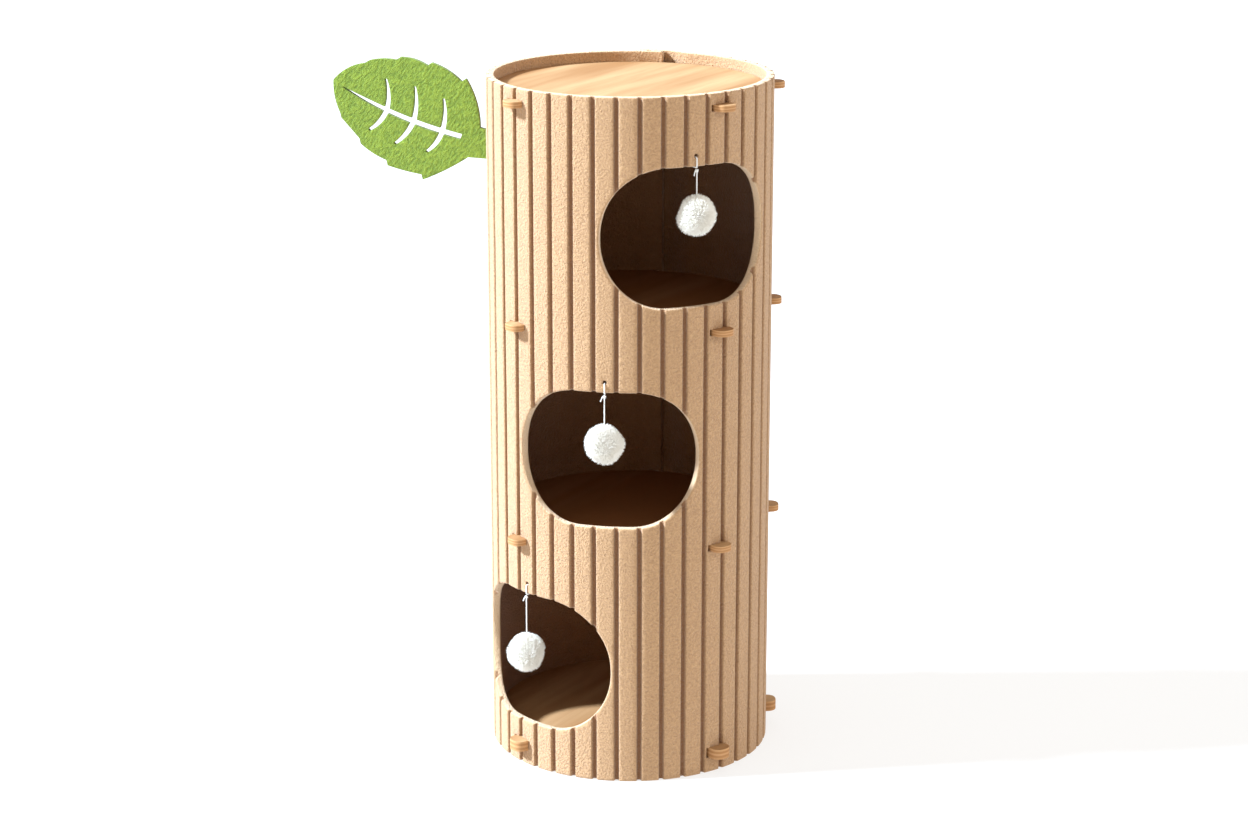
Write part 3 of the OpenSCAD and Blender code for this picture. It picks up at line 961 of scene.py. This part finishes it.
# %% One tuft of yarn
def tuft_mesh():
    """A bent, tapering tuft along +Z, one unit long."""
    b = bmesh.new()
    rings = []
    for t, r in ((0, 0.045), (0.45, 0.055), (0.8, 0.038)):
        bend = 0.16 * t * t
        rings.append([b.verts.new((bend + r * math.cos(a), r * math.sin(a), t))
                      for a in (2 * math.pi * k / 4 for k in range(4))])
    tip = b.verts.new((0.2, 0, 1))
    for lower, upper in zip(rings, rings[1:]):
        for k in range(4):
            b.faces.new((lower[k], lower[(k + 1) % 4], upper[(k + 1) % 4], upper[k]))
    for k in range(4):
        b.faces.new((rings[-1][k], rings[-1][(k + 1) % 4], tip))
    b.faces.new(list(reversed(rings[0])))
    mesh = bpy.data.meshes.new("tuft")
    b.to_mesh(mesh)
    b.free()
    return mesh


def core_mesh(name, centre, r, seed):
    """An uneven ball for the tufts to grow from."""
    draw = random.Random(seed)
    dents = [(Vector([draw.gauss(0, 1) for _ in range(3)]).normalized(), draw.uniform(-0.24, 0.05))
             for _ in range(16)]
    b = bmesh.new()
    bmesh.ops.create_icosphere(b, subdivisions=4, radius=1)
    for v in b.verts:
        out = v.co.normalized()
        swell = sum(size * max(0, out.dot(way)) ** 9 for way, size in dents)
        v.co = centre + out * r * (1 + swell)
    mesh = bpy.data.meshes.new(name)
    b.to_mesh(mesh)
    b.free()
    return mesh


# %% Pompoms with Geometry Nodes
def tuft_tree():
    tree = bpy.data.node_groups.new("tufts", "GeometryNodeTree")
    interface = tree.interface
    interface.new_socket("Geometry", in_out="INPUT", socket_type="NodeSocketGeometry")
    interface.new_socket("Tuft", in_out="INPUT", socket_type="NodeSocketObject")
    interface.new_socket("Density", in_out="INPUT", socket_type="NodeSocketFloat").default_value = 1.0
    interface.new_socket("Length", in_out="INPUT", socket_type="NodeSocketFloat").default_value = 8 * MM
    interface.new_socket("Seed", in_out="INPUT", socket_type="NodeSocketInt").default_value = 1
    interface.new_socket("Material", in_out="INPUT", socket_type="NodeSocketMaterial")
    interface.new_socket("Geometry", in_out="OUTPUT", socket_type="NodeSocketGeometry")
    n = Nodes(tree)
    given = n.add("NodeGroupInput").outputs
    spread = n.add("GeometryNodeDistributePointsOnFaces",
                   {"Mesh": given["Geometry"], "Density": given["Density"], "Seed": given["Seed"]})
    outward = {"Vector": spread.outputs["Normal"]}
    turn = n.add("FunctionNodeAlignRotationToVector", outward, axis="Z").outputs[0]
    leans = {0: (-0.5, -0.5, -3.14), 1: (0.5, 0.5, 3.14), "Seed": given["Seed"]}
    lean = n.add("FunctionNodeRandomValue", leans, data_type="FLOAT_VECTOR").outputs[0]
    turned = {"Rotation": turn, "Rotate By": lean}
    turn = n.add("FunctionNodeRotateRotation", turned, rotation_space="LOCAL").outputs[0]
    sizes = {2: 0.55, 3: 1.15, "Seed": given["Seed"]}
    size = n.add("FunctionNodeRandomValue", sizes, data_type="FLOAT").outputs[1]
    size = n.math("MULTIPLY", size, given["Length"])
    source = n.add("GeometryNodeObjectInfo", {"Object": given["Tuft"]}).outputs["Geometry"]
    tufts = n.add("GeometryNodeInstanceOnPoints", {
        "Points": spread.outputs["Points"], "Instance": source, "Rotation": turn, "Scale": size}).outputs[0]
    both = n.add("GeometryNodeJoinGeometry", {"Geometry": tufts})
    tree.links.new(given["Geometry"], both.inputs["Geometry"])
    shape = n.add("GeometryNodeRealizeInstances", {"Geometry": both.outputs[0]}).outputs[0]
    shape = n.add("GeometryNodeSetMaterial", {"Geometry": shape, "Material": given["Material"]}).outputs[0]
    n.add("NodeGroupOutput", {"Geometry": shape})
    return tree


tuft = bpy.data.objects.new("tuft", tuft_mesh())
grow_tufts = tuft_tree()
pile, tufts_per_m2 = 7.5 * MM, 1.15e6
core_inset = 0.72 * pile
for seed, toy in enumerate(TOYS, 11):
    low, high = (Vector(c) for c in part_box(f"{toy}_pompom"))
    pompom_r = (high.z - low.z) / 2
    core = core_mesh(f"{toy}_pompom_yarn", (low + high) / 2, pompom_r - core_inset, seed)
    pompom = new_piece(f"{toy}_pompom_yarn", core, pompom_yarn)
    add_tree(pompom, grow_tufts, Tuft=tuft, Density=tufts_per_m2, Length=pile, Seed=seed,
             Material=pompom_yarn)
    settle(pompom)
    pompom.data.shade_smooth()
    place_piece(pompom, f"{toy}_toy", "pompom_yarn", f"{toy}_pompom")
    print(pompom.name, triangle_count(pompom.data), "triangles")
bpy.data.objects.remove(tuft)
